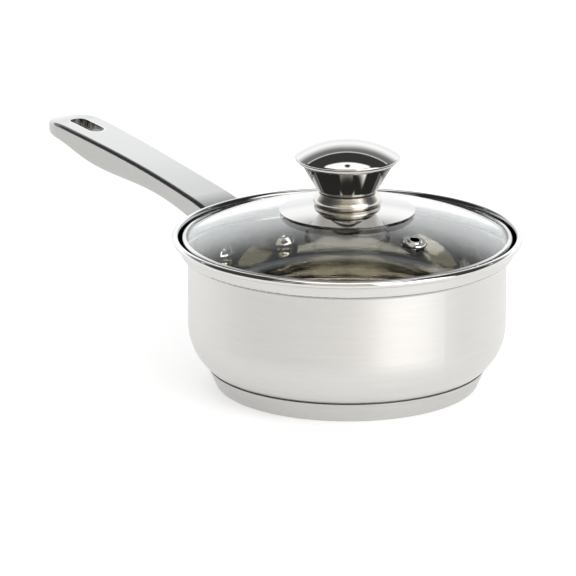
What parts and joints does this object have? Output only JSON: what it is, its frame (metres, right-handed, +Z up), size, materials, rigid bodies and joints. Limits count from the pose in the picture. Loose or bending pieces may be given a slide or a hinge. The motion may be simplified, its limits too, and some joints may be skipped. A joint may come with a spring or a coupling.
{
  "type": "saucepan with glass lid",
  "caption": "Stainless saucepan with a bonded base, a hollow riveted side handle with a hang slot, and a domed glass lid with a steam vent and a metal knob.",
  "frame": {"origin": "on the pan's axis, at the plane the base rests on", "axes": "+Z up along the pan's axis, the handle runs out along -X, the steam vent is on the +X side"},
  "size_m": [0.3508, 0.1774, 0.1268],
  "materials": {
    "satin_steel": "satin, brushed round the pan",
    "polished_steel": "mirror polished",
    "handle_steel": "fine satin, brushed lengthwise",
    "base_steel": "satin",
    "bonded_aluminium": "as cast",
    "tempered_glass": "clear, polished",
    "clear_silicone": "translucent, matt",
    "black_washer": "matt",
    "plated_steel": "zinc plated"
  },
  "bodies": {
    "pan": {"pan_shell": "satin_steel", "base_cap": "base_steel", "base_core_disc": "bonded_aluminium", "handle_bracket": "satin_steel", "handle_rivet_left": "polished_steel", "handle_rivet_right": "polished_steel", "handle_upper_shell": "handle_steel", "handle_lower_shell": "handle_steel", "hang_slot_liner": "polished_steel"},
    "lid": {"lid_glass": "tempered_glass", "lid_band": "polished_steel", "lid_gasket": "clear_silicone", "vent_eyelet": "polished_steel", "vent_gasket": "black_washer", "vent_back_washer": "polished_steel", "knob_plate": "polished_steel", "plate_gasket": "clear_silicone", "knob_collar": "polished_steel", "neck_washer": "black_washer", "knob_cup": "polished_steel", "knob_cap": "polished_steel", "knob_bush": "plated_steel", "knob_screw": "plated_steel", "screw_washer": "plated_steel", "screw_lock_washer": "plated_steel", "screw_gasket": "clear_silicone"}
  },
  "joints": [
    {"name": "lid_lift", "type": "slide", "parent": "pan", "child": "lid", "axis": [0, 0, 1], "range_m": [0, 0.12]}
  ]
}
